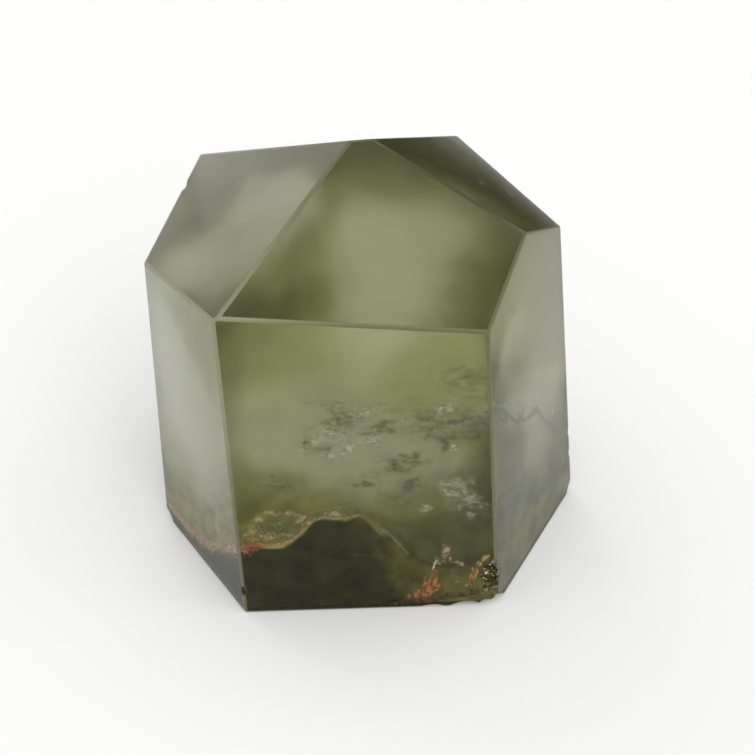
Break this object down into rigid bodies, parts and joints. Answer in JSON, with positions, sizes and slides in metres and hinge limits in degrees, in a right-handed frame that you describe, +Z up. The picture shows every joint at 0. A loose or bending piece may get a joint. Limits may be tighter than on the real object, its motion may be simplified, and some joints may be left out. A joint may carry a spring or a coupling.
{
  "type": "quartz point",
  "caption": "Polished point of green included quartz with a hexagonal body, four low top facets and a flat sawn base, for display on a shelf or desk.",
  "frame": {"origin": "middle of the stone's bounding box, at the level of the flat base", "axes": "+Z up from the base to the point, -Y out of the broad front facet, +X to the right seen from the front"},
  "size_m": [0.0411, 0.032, 0.0397],
  "materials": {
    "green_quartz": "polished, translucent olive green with milky clouds"
  },
  "bodies": {
    "root": {"quartz_point": "green_quartz"}
  },
  "joints": []
}
